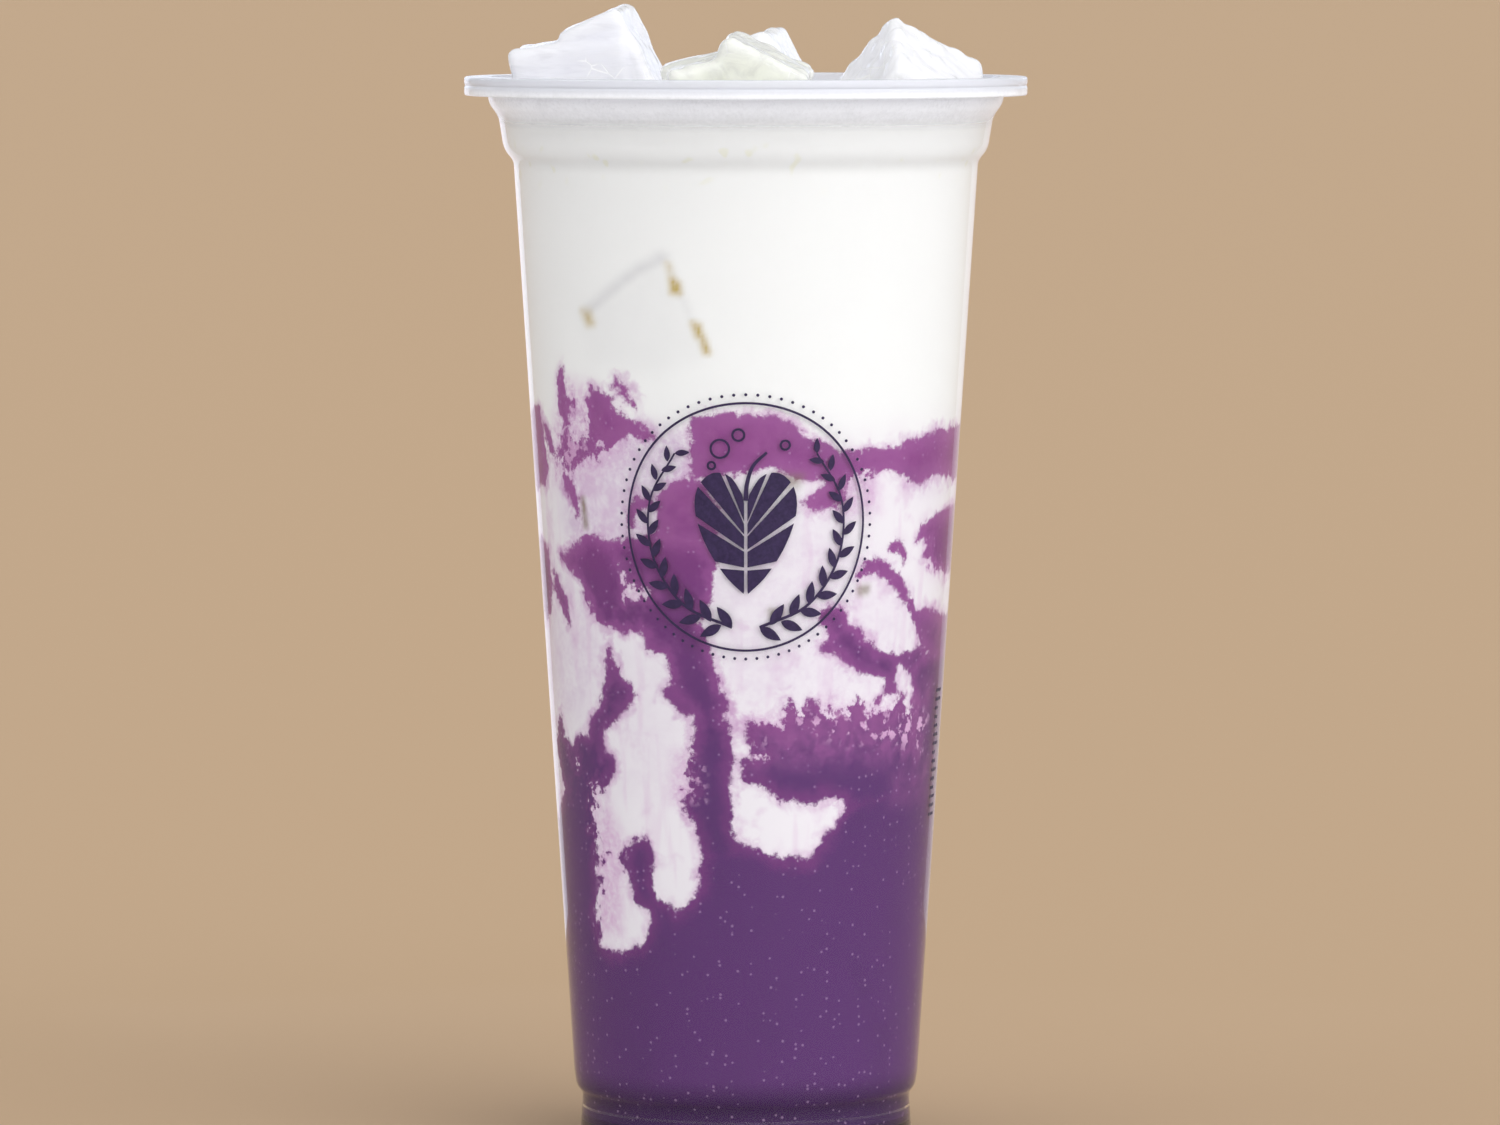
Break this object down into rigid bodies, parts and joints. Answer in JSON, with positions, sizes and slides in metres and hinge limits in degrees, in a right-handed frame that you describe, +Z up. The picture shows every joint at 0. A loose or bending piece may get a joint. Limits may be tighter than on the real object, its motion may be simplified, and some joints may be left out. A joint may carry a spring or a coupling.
{
  "type": "taro bubble tea",
  "caption": "Tall clear plastic cup of taro milk drink: purple taro at the foot, marbled middle, milk on top and ice blocks standing out of it.",
  "frame": {"origin": "centre of the cup's foot, on the surface it stands on", "axes": "+Z up along the cup's axis, -Y towards the front that carries the printed mark, +X to the right of that view"},
  "size_m": [0.095, 0.095, 0.1926],
  "materials": {
    "clear_cup": "clear, glossy, a little cloudy at the rim",
    "taro": "opaque purple drink seen through the wet wall",
    "taro_swirl": "purple and lilac-white marbling",
    "milk": "smooth milk",
    "ice": "cloudy wet ice with melted edges"
  },
  "bodies": {
    "root": {"cup": "clear_cup", "taro_base": "taro", "taro_swirl": "taro_swirl", "milk_top": "milk", "ice_left": "ice", "ice_front": "ice", "ice_back": "ice", "ice_right": "ice"}
  },
  "joints": []
}
